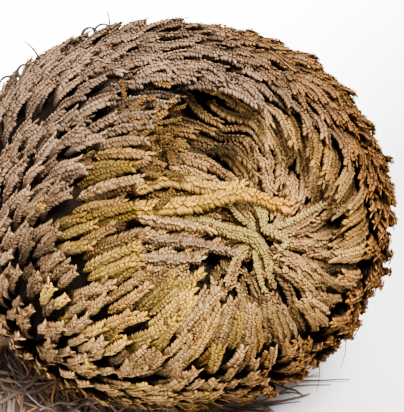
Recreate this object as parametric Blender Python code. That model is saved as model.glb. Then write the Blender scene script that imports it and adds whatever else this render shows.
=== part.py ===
"""Rose of Jericho, dry and closed.

A resurrection spikemoss curled up into a ball. All its fronds rise from one short
woody crown, run over the ball along the same slow spiral and curl in to one mouth.
The outer fronds are thatched with overlapping leafy branches, the inner ones line
the hollow of the mouth, and the whole ball stands on a mat of wiry roots.

Every frond is laid on the ball by two coordinates. "turn" picks the line that a
branch follows from the crown to the mouth, and "way" says how far along it is.
"""

import math
import random

import bmesh
import bpy
from mathutils import Matrix, Vector

MM = 0.001

# The ball, as if it were smooth
CENTRE = Vector((0.0, 0.0, 44.0)) * MM
HALF_SIZE = Vector((43.5, 39.5, 38.5)) * MM
RADIUS = sum(HALF_SIZE) / 3
TO_CROWN = Vector((-0.740, -0.089, -0.667)).normalized()
TO_MOUTH = Vector((0.460, -0.767, 0.447)).normalized()
SPIRAL = 0.33
LUMP = 0.9 * MM

# What neighbouring nodes keep between them: stems, the branches of two fronds, and their sheets
GAP = 0.36 * MM
BRANCH_GAP = 0.6 * MM
SHEET_GAP = 1.4 * MM

# The woody crown
CROWN_RADIUS = 4.4 * MM
CROWN_INNER_RADIUS = 3.7 * MM
CROWN_INNER_END = 24.0 * MM
CROWN_OUTER_END = 54.0 * MM

# The outer fronds
OUTER_FRONDS = 13
OUTER_BRANCH_LENGTH = 19.5 * MM
OUTER_BRANCH_STEP = 16.6 * MM
OUTER_BRANCH_PITCH = 5.5 * MM
OUTER_RINGS = (0.0, 0.24, 0.70, 1.0)
OUTER_HALF_WIDTH = 2.55 * MM
BRANCH_THICKNESS = 1.7 * MM
SHEET_TOP = -1.5 * MM
SHEET_THICKNESS = 1.5 * MM
SHEET_ROWS = 8
SHEET_COLUMN = 9.0 * MM
FROND_START = 10.0 * MM
MIDRIB_RADIUS = 0.95 * MM
MIDRIB_START = 5.5 * MM
MIDRIB_REACH = 1.1

# The hollow of the mouth, by the angle from its axis
# How near to that axis the outer fronds reach, as (turn, angle) in degrees
RIM = ((0, 26), (50, 22), (100, 27), (150, 28), (205, 28), (238, 37), (262, 50), (295, 42), (330, 34), (360, 26))
RIM_FALL = 3.0 * MM
RIM_FALL_FROM = math.radians(41)
RIM_FALL_TO = math.radians(20)
HOLLOW_LIP = -5.7 * MM
HOLLOW_DEPTH = 10.5 * MM
HOLLOW_FLOOR_ANGLE = math.radians(6)
HOLLOW_WALL_ANGLE = math.radians(42)

# The inner fronds
INNER_FRONDS = 8
ARCHING_FROND = 6
INNER_HALF_WIDTH = 2.2 * MM
INNER_START_ANGLE = math.radians(56)
INNER_END_ANGLE = math.radians(17)
INNER_RINGS = (0.0, 0.30, 0.65, 1.0)
INNER_ROWS = ((math.radians(53), math.radians(28), 3), (math.radians(31), math.radians(11), 2))
INNER_STEM_RADIUS = 0.8 * MM
INNER_STEM_RING = 2.55 * MM

# The root mat
MAT_CENTRE = Vector((-24.0, -4.0, 0.0)) * MM
MAT_HALF_SIZE = Vector((36.0, 25.0, 15.0)) * MM
MAT_CLEARANCE = 2.6 * MM
ROOTS = 22
ROOT_RADIUS = 0.6 * MM
ROOT_SHARES = (0.0, 0.55, 1.05, 1.5, 2.0)

SEED = 22


def clear_scene():
    """Remove whatever the file holds."""
    for item in list(bpy.data.objects):
        bpy.data.objects.remove(item)


def new_collection(name):
    collection = bpy.data.collections.new(name)
    bpy.context.scene.collection.children.link(collection)
    return collection


def material(name, colour, roughness):
    """A dry, matt plant surface."""
    made = bpy.data.materials.new(name)
    made.use_nodes = True
    shader = made.node_tree.nodes["Principled BSDF"]
    shader.inputs["Base Color"].default_value = (*colour, 1.0)
    shader.inputs["Roughness"].default_value = roughness
    shader.inputs["Metallic"].default_value = 0.0
    return made


def smooth_step(value, low, high):
    share = min(1.0, max(0.0, (value - low) / (high - low)))
    return share * share * (3 - 2 * share)


# The spiral lines from crown to mouth

CHORD = TO_MOUTH - TO_CROWN
CHORD_HALF = CHORD.length / 2
CHORD_AXIS = CHORD.normalized()
CHORD_MIDDLE = (TO_MOUTH + TO_CROWN) / 2
MIDDLE_REACH = CHORD_MIDDLE.length
NEAR_SIDE = CHORD_MIDDLE.normalized()
CROSS_SIDE = CHORD_AXIS.cross(NEAR_SIDE)
ALONG = math.sqrt(1 + SPIRAL * SPIRAL)


def direction(turn, way):
    """The point of the unit ball at these coordinates.

    The lines of one angle are the circles through crown and mouth. way is the
    logarithm of the distance to the crown over the distance to the mouth, which
    keeps the grid square everywhere, and the spiral leans every line alike.
    """
    angle = turn - SPIRAL * way
    side = math.cos(angle) * NEAR_SIDE + math.sin(angle) * CROSS_SIDE
    offset = MIDDLE_REACH * math.cos(angle)
    radius = math.sqrt(CHORD_HALF**2 + offset**2)
    end = math.acos(offset / radius)
    growth = math.exp(way)
    travelled = math.atan2(growth * math.sin(end), 1 + growth * math.cos(end))
    bend = 2 * travelled - end
    return CHORD_MIDDLE + (radius * math.cos(bend) - offset) * side + radius * math.sin(bend) * CHORD_AXIS


def spread(toward):
    """Metres on the ball for one unit of turn or way, at this direction."""
    return RADIUS * (toward - TO_CROWN).length * (toward - TO_MOUTH).length / CHORD.length


def mouth_angle(toward):
    return math.acos(max(-1.0, min(1.0, toward.dot(TO_MOUTH))))


def at(toward, height):
    """The place at this height over the smooth ball, with its low lumps."""
    lump = LUMP * math.sin(5.1 * toward.x + 1.3) * math.sin(4.3 * toward.y - 0.6) * math.sin(4.7 * toward.z + 2.1)
    stretched = Vector(toward[i] * HALF_SIZE[i] for i in range(3))
    return CENTRE + stretched * (1 + (height + lump) / RADIUS)


def curl(turn, way, height):
    return at(direction(turn, way), height)


def rim_angle(turn):
    """How near to the mouth's axis the outer fronds reach on this line; they stop short on one side."""
    degrees = math.degrees(turn) % 360
    for (before, low), (after, high) in zip(RIM, RIM[1:]):
        if degrees <= after:
            return math.radians(low + (high - low) * (degrees - before) / (after - before))
    return math.radians(RIM[-1][1])


def outer_height(toward):
    """The height of the outer fronds, which bow in a little at the rim."""
    return -RIM_FALL * (1 - smooth_step(mouth_angle(toward), RIM_FALL_TO, RIM_FALL_FROM))


def hollow_height(toward):
    """The height of the mouth's lining, which falls from its lip to its floor."""
    floor_share = 1 - smooth_step(mouth_angle(toward), HOLLOW_FLOOR_ANGLE, HOLLOW_WALL_ANGLE)
    return HOLLOW_LIP - HOLLOW_DEPTH * floor_share


def way_at_crown_distance(turn, distance):
    """The way at which a line has left the crown's axis by this distance."""
    low, high = -6.0, 0.0
    for _ in range(40):
        middle = (low + high) / 2
        if (direction(turn, middle) - TO_CROWN).length * RADIUS < distance:
            low = middle
        else:
            high = middle
    return low


def way_at_mouth_angle(turn, angle):
    """The way at which a line has come this near to the mouth's axis."""
    low, high = -4.0, 7.0
    for _ in range(40):
        middle = (low + high) / 2
        if mouth_angle(direction(turn, middle)) > angle:
            low = middle
        else:
            high = middle
    return low


def advance(turn, way, distance):
    """The way after this many metres along a line."""
    steps = 8
    for _ in range(steps):
        way += distance / steps / (spread(direction(turn, way)) * ALONG)
    return way


# Pieces, and joining them

def piece_from(mesh_maker):
    """A loose object whose mesh this function fills."""
    mesh = bpy.data.meshes.new("piece")
    form = bmesh.new()
    mesh_maker(form)
    form.normal_update()
    bmesh.ops.recalc_face_normals(form, faces=form.faces)
    form.to_mesh(mesh)
    form.free()
    return bpy.data.objects.new("piece", mesh)


def leafy_branch(points, half_widths, thickness=BRANCH_THICKNESS):
    """A strap through these points with a ridge along its outer face."""
    last = len(points) - 1

    def fill(form):
        bmesh.ops.create_cone(form, cap_ends=True, segments=3, radius1=1, radius2=1, depth=last)
        uprights = [edge for edge in form.edges if abs(edge.verts[0].co.z - edge.verts[1].co.z) > 0.5]
        bmesh.ops.subdivide_edges(form, edges=uprights, cuts=last - 1)
        for vertex in form.verts:
            ring = round(vertex.co.z + last / 2)
            side = vertex.co.x
            forward = (points[min(ring + 1, last)] - points[max(ring - 1, 0)]).normalized()
            outward = (points[ring] - CENTRE).normalized()
            across = forward.cross(outward).normalized()
            outward = across.cross(forward)
            ridge = vertex.co.y > 0.5
            vertex.co = points[ring] + outward * thickness * (0.6 if ridge else -0.4)
            if not ridge:
                vertex.co += across * half_widths[ring] * (1 if side > 0 else -1)

    return piece_from(fill)


def tube(points, radii, sides_setting=0):
    """A round stem or root through these points."""
    curve = bpy.data.curves.new("stem", "CURVE")
    curve.dimensions = "3D"
    curve.bevel_depth = 1.0
    curve.bevel_resolution = sides_setting
    curve.use_fill_caps = True
    spline = curve.splines.new("POLY")
    spline.points.add(len(points) - 1)
    for spot, place, radius in zip(spline.points, points, radii):
        spot.co = (*place, 1.0)
        spot.radius = radius
    guide = bpy.data.objects.new("stem", curve)
    bpy.context.scene.collection.objects.link(guide)
    graph = bpy.context.evaluated_depsgraph_get()
    mesh = bpy.data.meshes.new_from_object(guide.evaluated_get(graph))
    bpy.data.objects.remove(guide)
    form = bmesh.new()
    form.from_mesh(mesh)
    bmesh.ops.remove_doubles(form, verts=form.verts, dist=0.01 * MM)
    form.normal_update()
    bmesh.ops.recalc_face_normals(form, faces=form.faces)
    form.to_mesh(mesh)
    form.free()
    return bpy.data.objects.new("stem", mesh)


def sheet(turn_at, way_at, half_turn_at, height_at, rows, columns=2):
    """A thin curved sheet between two lines, on which a frond's branches stand."""

    def fill(form):
        bmesh.ops.create_cube(form, size=2)
        lengthwise = [edge for edge in form.edges if abs(edge.verts[0].co.x - edge.verts[1].co.x) > 1]
        bmesh.ops.subdivide_edges(form, edges=lengthwise, cuts=rows - 1)
        crosswise = [edge for edge in form.edges if abs(edge.verts[0].co.y - edge.verts[1].co.y) > 1]
        bmesh.ops.subdivide_edges(form, edges=crosswise, cuts=columns - 1)
        for vertex in form.verts:
            share = (vertex.co.x + 1) / 2
            way = way_at(share)
            turn = turn_at(share) + vertex.co.y * half_turn_at(share)
            toward = direction(turn, way)
            vertex.co = at(toward, height_at(toward) - SHEET_THICKNESS * (1 - vertex.co.z) / 2)

    return piece_from(fill)


def fuse(name, pieces, finish, collection, solver="MANIFOLD"):
    """Join the pieces into one solid named for what it is."""
    body, *rest = pieces
    body.name = name
    body.data.name = name
    collection.objects.link(body)
    joined = bpy.data.collections.new(name + "_pieces")
    bpy.context.scene.collection.children.link(joined)
    for piece in rest:
        joined.objects.link(piece)
    union = body.modifiers.new("join", "BOOLEAN")
    union.operation = "UNION"
    union.operand_type = "COLLECTION"
    union.collection = joined
    union.solver = solver
    apply_modifiers(body)
    for piece in list(joined.objects):
        bpy.data.objects.remove(piece)
    bpy.data.collections.remove(joined)
    merge_close_points(body)
    keep_largest(body)
    body.data.materials.clear()
    body.data.materials.append(finish)
    return body


def apply_modifiers(body):
    graph = bpy.context.evaluated_depsgraph_get()
    mesh = bpy.data.meshes.new_from_object(body.evaluated_get(graph))
    body.modifiers.clear()
    body.data = mesh


def merge_close_points(body):
    """Merge the ends of each edge shorter than a hair's breadth, where that pinches nothing together."""
    form = bmesh.new()
    form.from_mesh(body.data)
    bmesh.ops.triangulate(form, faces=form.faces)
    for edge in list(form.edges):
        if not edge.is_valid or edge.calc_length() > 0.004 * MM:
            continue
        first, second = edge.verts
        around_first = {spoke.other_vert(first) for spoke in first.link_edges}
        around_second = {spoke.other_vert(second) for spoke in second.link_edges}
        if len(around_first & around_second) == 2:
            bmesh.ops.pointmerge(form, verts=[first, second], merge_co=(first.co + second.co) / 2)
    form.to_mesh(body.data)
    form.free()


def cut(body, cutter):
    """Take the cutter's shape out of the body."""
    bpy.context.scene.collection.objects.link(cutter)
    difference = body.modifiers.new("cut", "BOOLEAN")
    difference.operation = "DIFFERENCE"
    difference.object = cutter
    difference.solver = "MANIFOLD"
    apply_modifiers(body)
    bpy.data.objects.remove(cutter)


def keep_largest(body):
    """Keep the outer skin alone, without the sealed pockets and scraps that a union or a cut leaves."""
    form = bmesh.new()
    form.from_mesh(body.data)
    unseen = set(form.faces)
    skins = []
    while unseen:
        front = [unseen.pop()]
        skin = list(front)
        while front:
            for edge in front.pop().edges:
                for face in edge.link_faces:
                    if face in unseen:
                        unseen.discard(face)
                        skin.append(face)
                        front.append(face)
        skins.append(skin)
    skins.sort(key=len)
    for skin in skins[:-1]:
        bmesh.ops.delete(form, geom=skin, context="FACES")
    form.to_mesh(body.data)
    form.free()


# The crown

def crown_axis():
    """Where the crown's axis meets the ball, as a vector from its centre."""
    return Vector(TO_CROWN[i] * HALF_SIZE[i] for i in range(3)).normalized()


def crown_solid(extra=0.0):
    """The short tapered stub, with some extra all round when it is a cutter."""
    axis = crown_axis()
    length = CROWN_OUTER_END - CROWN_INNER_END + 2 * extra
    middle = CENTRE + axis * (CROWN_OUTER_END + CROWN_INNER_END) / 2

    def fill(form):
        bmesh.ops.create_cone(
            form,
            cap_ends=True,
            segments=14,
            radius1=CROWN_INNER_RADIUS + extra,
            radius2=CROWN_RADIUS + extra,
            depth=length,
            matrix=Matrix.Translation(middle) @ axis.to_track_quat("Z", "Y").to_matrix().to_4x4(),
        )

    return piece_from(fill)


# The outer fronds

def outer_branch(rng, turn, start_way, half_lane):
    """One leafy branch of the thatch: its foot is sunk in the sheet, its tip lies on the next row."""
    length = OUTER_BRANCH_LENGTH * rng.uniform(0.88, 1.08)
    tip_lift = rng.uniform(0.0, 0.9) * MM
    heights = (-3.0 * MM, -0.3 * MM, 0.3 * MM, 0.5 * MM + tip_lift)
    shape = (0.70, 1.0, 0.95, 0.30)
    points = []
    widths = []
    for share, height, full in zip(OUTER_RINGS, heights, shape):
        toward = direction(turn, advance(turn, start_way, share * length))
        level = outer_height(toward) + height
        room = half_lane * spread(toward) / ALONG * (1 + level / RADIUS) - BRANCH_GAP / 2
        points.append(at(toward, level))
        widths.append(max(0.3 * MM, min(OUTER_HALF_WIDTH, room) * full))
    return leafy_branch(points, widths)


def outer_frond(index, finish, collection):
    """One outer frond: a midrib, its sheet, and rows of branches from the crown to the rim."""
    rng = random.Random(SEED + index)
    half_turn = math.pi / OUTER_FRONDS
    turn = 2 * math.pi * (index + 0.5) / OUTER_FRONDS
    first_way = way_at_crown_distance(turn, FROND_START)
    end_angle = rim_angle(turn) * rng.uniform(0.96, 1.04)
    last_way = way_at_mouth_angle(turn, end_angle)

    def sheet_half_turn(share):
        toward = direction(turn, first_way + share * (last_way - first_way))
        return half_turn - 0.5 * SHEET_GAP * ALONG / spread(toward)

    widest = 2 * half_turn * spread(direction(turn, -0.6))
    pieces = [
        sheet(
            lambda share: turn,
            lambda share: first_way + share * (last_way - 0.25 - first_way),
            sheet_half_turn,
            lambda toward: outer_height(toward) + SHEET_TOP,
            SHEET_ROWS,
            max(2, round(widest / SHEET_COLUMN)),
        )
    ]
    midrib_start = way_at_crown_distance(turn, MIDRIB_START)
    midrib_points = []
    midrib_radii = []
    steps = 4
    for i in range(steps + 1):
        share = i / steps
        way = midrib_start + share * MIDRIB_REACH
        midrib_points.append(curl(turn, way, SHEET_TOP - SHEET_THICKNESS))
        midrib_radii.append(MIDRIB_RADIUS * (1 - 0.45 * share))
    pieces.append(tube(midrib_points, midrib_radii))

    way = first_way
    while True:
        tip_way = advance(turn, way, OUTER_BRANCH_LENGTH)
        if tip_way > last_way:
            break
        middle = direction(turn, (way + tip_way) / 2)
        lanes = max(1, round(2 * half_turn * spread(middle) / ALONG / OUTER_BRANCH_PITCH))
        half_lane = half_turn / lanes
        for lane in range(lanes):
            lane_turn = turn - half_turn + (2 * lane + 1) * half_lane
            stagger = 0.26 * math.sin(14 * lane_turn + 1.3) + rng.uniform(-0.05, 0.05)
            start_way = advance(lane_turn, way, stagger * OUTER_BRANCH_STEP)
            pieces.append(outer_branch(rng, lane_turn, start_way, half_lane))
        way = advance(turn, way, OUTER_BRANCH_STEP)
    return fuse(f"outer_frond_{index + 1:02d}", pieces, finish, collection)


# The inner fronds

def inner_stem_points(ring_angle, target, steps=5):
    """From the crown's inner end out to where the frond meets the wall of the hollow."""
    axis = crown_axis()
    side = axis.orthogonal().normalized()
    other = axis.cross(side)
    toward_target = (target - CENTRE) - axis * (target - CENTRE).dot(axis)
    angle = math.atan2(toward_target.dot(other), toward_target.dot(side)) if ring_angle is None else ring_angle
    ring = INNER_STEM_RING * (math.cos(angle) * side + math.sin(angle) * other)
    start = CENTRE + axis * (CROWN_INNER_END - GAP) + ring
    bend = start - axis * 12 * MM + ring * 1.5
    points = []
    for i in range(steps + 1):
        share = i / steps
        points.append(start * (1 - share) ** 2 + bend * 2 * share * (1 - share) + target * share**2)
    return points


def ring_order(targets):
    """Even places round the crown's end, in the order in which the stems leave it."""
    axis = crown_axis()
    side = axis.orthogonal().normalized()
    other = axis.cross(side)
    found = []
    for number, target in enumerate(targets):
        away = target - CENTRE
        found.append((math.atan2(away.dot(other), away.dot(side)), number))
    found.sort()
    places = {}
    shift = found[0][0]
    for place, (_, number) in enumerate(found):
        places[number] = shift + 2 * math.pi * place / len(found)
    return [places[number] for number in range(len(targets))]


def inner_turn(index):
    return 2 * math.pi * (index + 0.5) / INNER_FRONDS


def inner_root(index):
    """Where the inner frond's stem meets its sheet."""
    turn = inner_turn(index)
    toward = direction(turn, way_at_mouth_angle(turn, INNER_START_ANGLE - math.radians(4)))
    return at(toward, hollow_height(toward) + SHEET_TOP - 0.5 * SHEET_THICKNESS)


def inner_branch(rng, turn, start_way, end_way, half_lane):
    """One long branch of the hollow's lining."""
    heights = (-3.0 * MM, -0.9 * MM, 0.1 * MM, 0.1 * MM)
    shape = (0.7, 1.0, 0.9, 0.35)
    lift = rng.uniform(0.0, 0.35) * MM
    points = []
    widths = []
    for share, height, full in zip(INNER_RINGS, heights, shape):
        toward = direction(turn, start_way + share * (end_way - start_way))
        level = hollow_height(toward) + height + lift * share
        room = half_lane * spread(toward) / ALONG * (1 + level / RADIUS) - BRANCH_GAP / 2
        points.append(at(toward, level))
        widths.append(max(0.3 * MM, min(INNER_HALF_WIDTH, room) * full))
    return leafy_branch(points, widths)


def inner_frond(index, ring_angle, finish, collection):
    """One inner frond: a stem through the ball, its sheet on the wall, and two rows of long branches."""
    rng = random.Random(SEED + 100 + index)
    half_turn = math.pi / INNER_FRONDS
    turn = inner_turn(index)
    first_way = way_at_mouth_angle(turn, INNER_START_ANGLE)
    last_way = way_at_mouth_angle(turn, INNER_END_ANGLE)

    def sheet_half_turn(share):
        toward = direction(turn, first_way + share * (last_way - first_way))
        return half_turn - 0.5 * SHEET_GAP * ALONG / spread(toward)

    pieces = [
        sheet(
            lambda share: turn,
            lambda share: first_way + share * (last_way - first_way),
            sheet_half_turn,
            lambda toward: hollow_height(toward) + SHEET_TOP,
            5,
        ),
        tube(
            inner_stem_points(ring_angle, inner_root(index)),
            [INNER_STEM_RADIUS * (1 + 0.35 * i / 5) for i in range(6)],
        ),
    ]
    for foot_angle, tip_angle, lanes in INNER_ROWS:
        start_way = way_at_mouth_angle(turn, foot_angle)
        end_way = way_at_mouth_angle(turn, tip_angle)
        half_lane = half_turn / lanes
        for lane in range(lanes):
            lane_turn = turn - half_turn + (2 * lane + 1) * half_lane
            shift = rng.uniform(-0.05, 0.05)
            pieces.append(inner_branch(rng, lane_turn, start_way + shift, end_way + shift, half_lane))
    return fuse(f"inner_frond_{index + 1}", pieces, finish, collection)


# The frond that arches across the mouth, and the young fronds at its heart

# Each long branch: foot turn and tip turn in degrees, tip angle past the axis, lift and half width in mm
ARCHING_BRANCHES = (
    (297, 128, 9.0, 2.6, 1.55),
    (289, 210, 4.0, 1.2, 1.45),
    (308, 330, -7.5, 0.6, 1.40),
)
ARCH_FOOT_ANGLE = math.radians(41)
ARCH_TIP_HEIGHT = -8.5 * MM
ARCH_FOOT_HEIGHT = -7.6 * MM


def straight_direction(turn, angle):
    """The direction at this angle from the mouth's axis, on the side that the turn's line comes from."""
    near = direction(turn, way_at_mouth_angle(turn, math.radians(4)))
    away = (near - TO_MOUTH * near.dot(TO_MOUTH)).normalized()
    return TO_MOUTH * math.cos(angle) + away * math.sin(angle)


def arching_branch(foot_turn, tip_turn, past_axis, lift, half_width):
    """A long strap that leaves the wall and bridges the hollow."""
    foot_way = way_at_mouth_angle(foot_turn, ARCH_FOOT_ANGLE)
    foot = curl(foot_turn, foot_way, ARCH_FOOT_HEIGHT)
    tip = at(straight_direction(tip_turn, abs(past_axis)), ARCH_TIP_HEIGHT)
    count = 7
    points = []
    widths = []
    for i in range(count):
        share = i / (count - 1)
        place = foot.lerp(tip, share)
        place += (place - CENTRE).normalized() * lift * 4 * share * (1 - share)
        points.append(place)
        widths.append(half_width * min(1.0, 0.7 + 0.8 * share) * (1 - 0.35 * share**4))
    return leafy_branch(points, widths, 1.5 * MM)


def arching_frond(ring_angle, finish, collection):
    """The frond whose long branches lie across the hollow, above the lining."""
    turn = inner_turn(ARCHING_FROND)
    half_turn = math.pi / INNER_FRONDS
    first_way = way_at_mouth_angle(turn, INNER_START_ANGLE)
    last_way = way_at_mouth_angle(turn, math.radians(30))

    def sheet_half_turn(share):
        toward = direction(turn, first_way + share * (last_way - first_way))
        return half_turn - 0.5 * SHEET_GAP * ALONG / spread(toward)

    pieces = [
        sheet(
            lambda share: turn,
            lambda share: first_way + share * (last_way - first_way),
            sheet_half_turn,
            lambda toward: hollow_height(toward) + SHEET_TOP,
            4,
        ),
        tube(
            inner_stem_points(ring_angle, inner_root(ARCHING_FROND)),
            [INNER_STEM_RADIUS * (1 + 0.35 * i / 5) for i in range(6)],
        ),
    ]
    for foot_turn, tip_turn, past_axis, lift, half_width in ARCHING_BRANCHES:
        pieces.append(
            arching_branch(
                math.radians(foot_turn),
                math.radians(tip_turn),
                math.radians(past_axis),
                lift * MM,
                half_width * MM,
            )
        )
    return fuse("arching_frond", pieces, finish, collection)


HEART_BRANCHES = 8
HEART_HEIGHT = 2.5 * MM
HEART_HALF_WIDTH = 0.95 * MM
HEART_STEM_RADIUS = 1.0 * MM
HEART_STEM_TOP = 22.0 * MM


def heart_fronds(finish, collection):
    """The youngest fronds: a slim stem up the middle, and narrow green branches that spread over the lining."""
    rng = random.Random(SEED + 300)
    foot = CENTRE + crown_axis() * (CROWN_INNER_END - GAP)
    top = CENTRE + TO_MOUTH * HEART_STEM_TOP
    bend = CENTRE + crown_axis() * 2 * MM
    steps = 8
    points = []
    for i in range(steps + 1):
        share = i / steps
        points.append(foot * (1 - share) ** 2 + bend * 2 * share * (1 - share) + top * share**2)
    pieces = [tube(points, [HEART_STEM_RADIUS] * len(points))]
    for number in range(HEART_BRANCHES):
        turn = 2 * math.pi * (number + rng.uniform(-0.2, 0.2)) / HEART_BRANCHES
        reach = math.radians(rng.uniform(17, 27))
        spine = [top - TO_MOUTH * 1.0 * MM]
        for share in (0.2, 0.6, 1.0):
            toward = straight_direction(turn, reach * share)
            spine.append(at(toward, hollow_height(toward) + HEART_HEIGHT))
        widths = [HEART_HALF_WIDTH * full for full in (0.6, 1.0, 1.0, 0.4)]
        pieces.append(leafy_branch(spine, widths, 1.1 * MM))
    return fuse("heart_fronds", pieces, finish, collection)


# The roots

def ball_cutter():
    """The ball with its thatch and a little room, which no root enters."""

    def fill(form):
        bmesh.ops.create_uvsphere(form, u_segments=36, v_segments=20, radius=1)
        for vertex in form.verts:
            for i in range(3):
                vertex.co[i] = CENTRE[i] + vertex.co[i] * (HALF_SIZE[i] + MAT_CLEARANCE)

    return piece_from(fill)


def mat_core():
    """The felted mass of roots, a low dome with a flat underside."""

    def fill(form):
        bmesh.ops.create_uvsphere(form, u_segments=20, v_segments=10, radius=1)
        cut_all = form.verts[:] + form.edges[:] + form.faces[:]
        cut_made = bmesh.ops.bisect_plane(
            form, geom=cut_all, plane_co=(0, 0, 0.02), plane_no=(0, 0, 1), clear_inner=True
        )
        rim = [item for item in cut_made["geom_cut"] if isinstance(item, bmesh.types.BMEdge)]
        bmesh.ops.contextual_create(form, geom=rim)
        lowest = min(vertex.co.z for vertex in form.verts)
        for vertex in form.verts:
            place = vertex.co
            around = math.atan2(place.y, place.x)
            wobble = 1 + 0.07 * math.sin(3 * around + 0.7) + 0.05 * math.sin(5 * around)
            vertex.co = Vector(
                (
                    MAT_CENTRE.x + place.x * wobble * MAT_HALF_SIZE.x,
                    MAT_CENTRE.y + place.y * wobble * MAT_HALF_SIZE.y,
                    (place.z - lowest) * MAT_HALF_SIZE.z,
                )
            )

    return piece_from(fill)


def mat_edge(heading):
    """How far the mat reaches from its middle this way."""
    around = math.atan2(heading.y / MAT_HALF_SIZE.y, heading.x / MAT_HALF_SIZE.x)
    wobble = 1 + 0.07 * math.sin(3 * around + 0.7) + 0.05 * math.sin(5 * around)
    return wobble / math.hypot(heading.x / MAT_HALF_SIZE.x, heading.y / MAT_HALF_SIZE.y)


def root(rng, number):
    """One wiry root: it lies over the mat, comes down at its edge and runs out over the surface."""
    around = 2 * math.pi * (number + rng.uniform(-0.35, 0.35)) / ROOTS
    heading = Vector((math.cos(around), math.sin(around), 0))
    across = Vector((-heading.y, heading.x, 0))
    edge = mat_edge(heading)
    reach = rng.uniform(8, 20) * MM
    wander = rng.uniform(-6, 6) * MM
    start = rng.uniform(0.25, 0.5)
    points = []
    radii = []
    for share in ROOT_SHARES:
        out = start + (0.97 - start) * share if share <= 1 else 1.0
        place = MAT_CENTRE + heading * (edge * out + reach * max(0.0, share - 1))
        place += across * wander * math.sin(1.5 * share)
        place.z = max(ROOT_RADIUS * 1.02, MAT_HALF_SIZE.z * math.sqrt(max(0.0, 1 - out * out)) + 0.2 * MM)
        points.append(place)
        radii.append(ROOT_RADIUS * (1.5 - 0.5 * share))
    return tube(points, radii)


def root_mat(finish, collection):
    rng = random.Random(SEED + 400)
    pieces = [mat_core()] + [root(rng, number) for number in range(ROOTS)]
    body = fuse("root_mat", pieces, finish, collection)
    cut(body, ball_cutter())
    cut(body, crown_solid(GAP))
    keep_largest(body)
    return body


def main():
    clear_scene()
    plant = new_collection("rose_of_jericho")
    dry_bark = material("dry_brown_bark", (0.16, 0.10, 0.06), 0.9)
    wiry_root = material("wiry_root", (0.17, 0.09, 0.05), 0.85)
    dry_outer = material("dry_taupe_frond", (0.36, 0.25, 0.16), 0.85)
    dry_inner = material("dry_straw_frond", (0.44, 0.33, 0.20), 0.85)
    ochre = material("ochre_frond", (0.60, 0.42, 0.18), 0.8)
    young_green = material("young_green_frond", (0.42, 0.41, 0.22), 0.8)

    crown = crown_solid()
    crown.name = "crown"
    crown.data.name = "crown"
    crown.data.materials.append(dry_bark)
    plant.objects.link(crown)

    for index in range(OUTER_FRONDS):
        outer_frond(index, dry_outer, plant)
    ring_angles = ring_order([inner_root(index) for index in range(INNER_FRONDS)])
    for index in range(INNER_FRONDS):
        if index == ARCHING_FROND:
            arching_frond(ring_angles[index], ochre, plant)
        else:
            inner_frond(index, ring_angles[index], dry_inner, plant)
    heart_fronds(young_green, plant)
    root_mat(wiry_root, plant)


main()
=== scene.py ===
import math

import bpy
import numpy as np
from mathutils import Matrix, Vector


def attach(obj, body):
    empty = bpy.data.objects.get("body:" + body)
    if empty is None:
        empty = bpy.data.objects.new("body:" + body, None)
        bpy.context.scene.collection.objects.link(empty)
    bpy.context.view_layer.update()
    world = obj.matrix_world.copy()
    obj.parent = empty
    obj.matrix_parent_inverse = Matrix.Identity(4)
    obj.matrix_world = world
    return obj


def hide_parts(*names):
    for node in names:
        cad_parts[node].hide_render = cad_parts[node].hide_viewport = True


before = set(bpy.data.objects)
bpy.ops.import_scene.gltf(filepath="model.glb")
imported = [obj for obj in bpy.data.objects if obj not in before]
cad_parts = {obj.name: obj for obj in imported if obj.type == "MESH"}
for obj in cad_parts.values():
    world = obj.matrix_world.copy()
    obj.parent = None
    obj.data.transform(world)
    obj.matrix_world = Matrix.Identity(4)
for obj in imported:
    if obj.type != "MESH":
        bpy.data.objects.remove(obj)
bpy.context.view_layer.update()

# The crown: the short woody stub that every frond and root grows from. It is dry
# bark, half inside the ball and half in the root mat.

BARK = (0.10, 0.055, 0.03)
BARK_DARK = (0.05, 0.025, 0.012)
BARK_PALE = (0.20, 0.12, 0.07)
BARK_ROUGHNESS = 0.9
BARK_GRAIN_SCALE = 900.0
BARK_GRAIN_DEPTH = 0.0006
DULL_SPECULAR = 0.06


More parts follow.
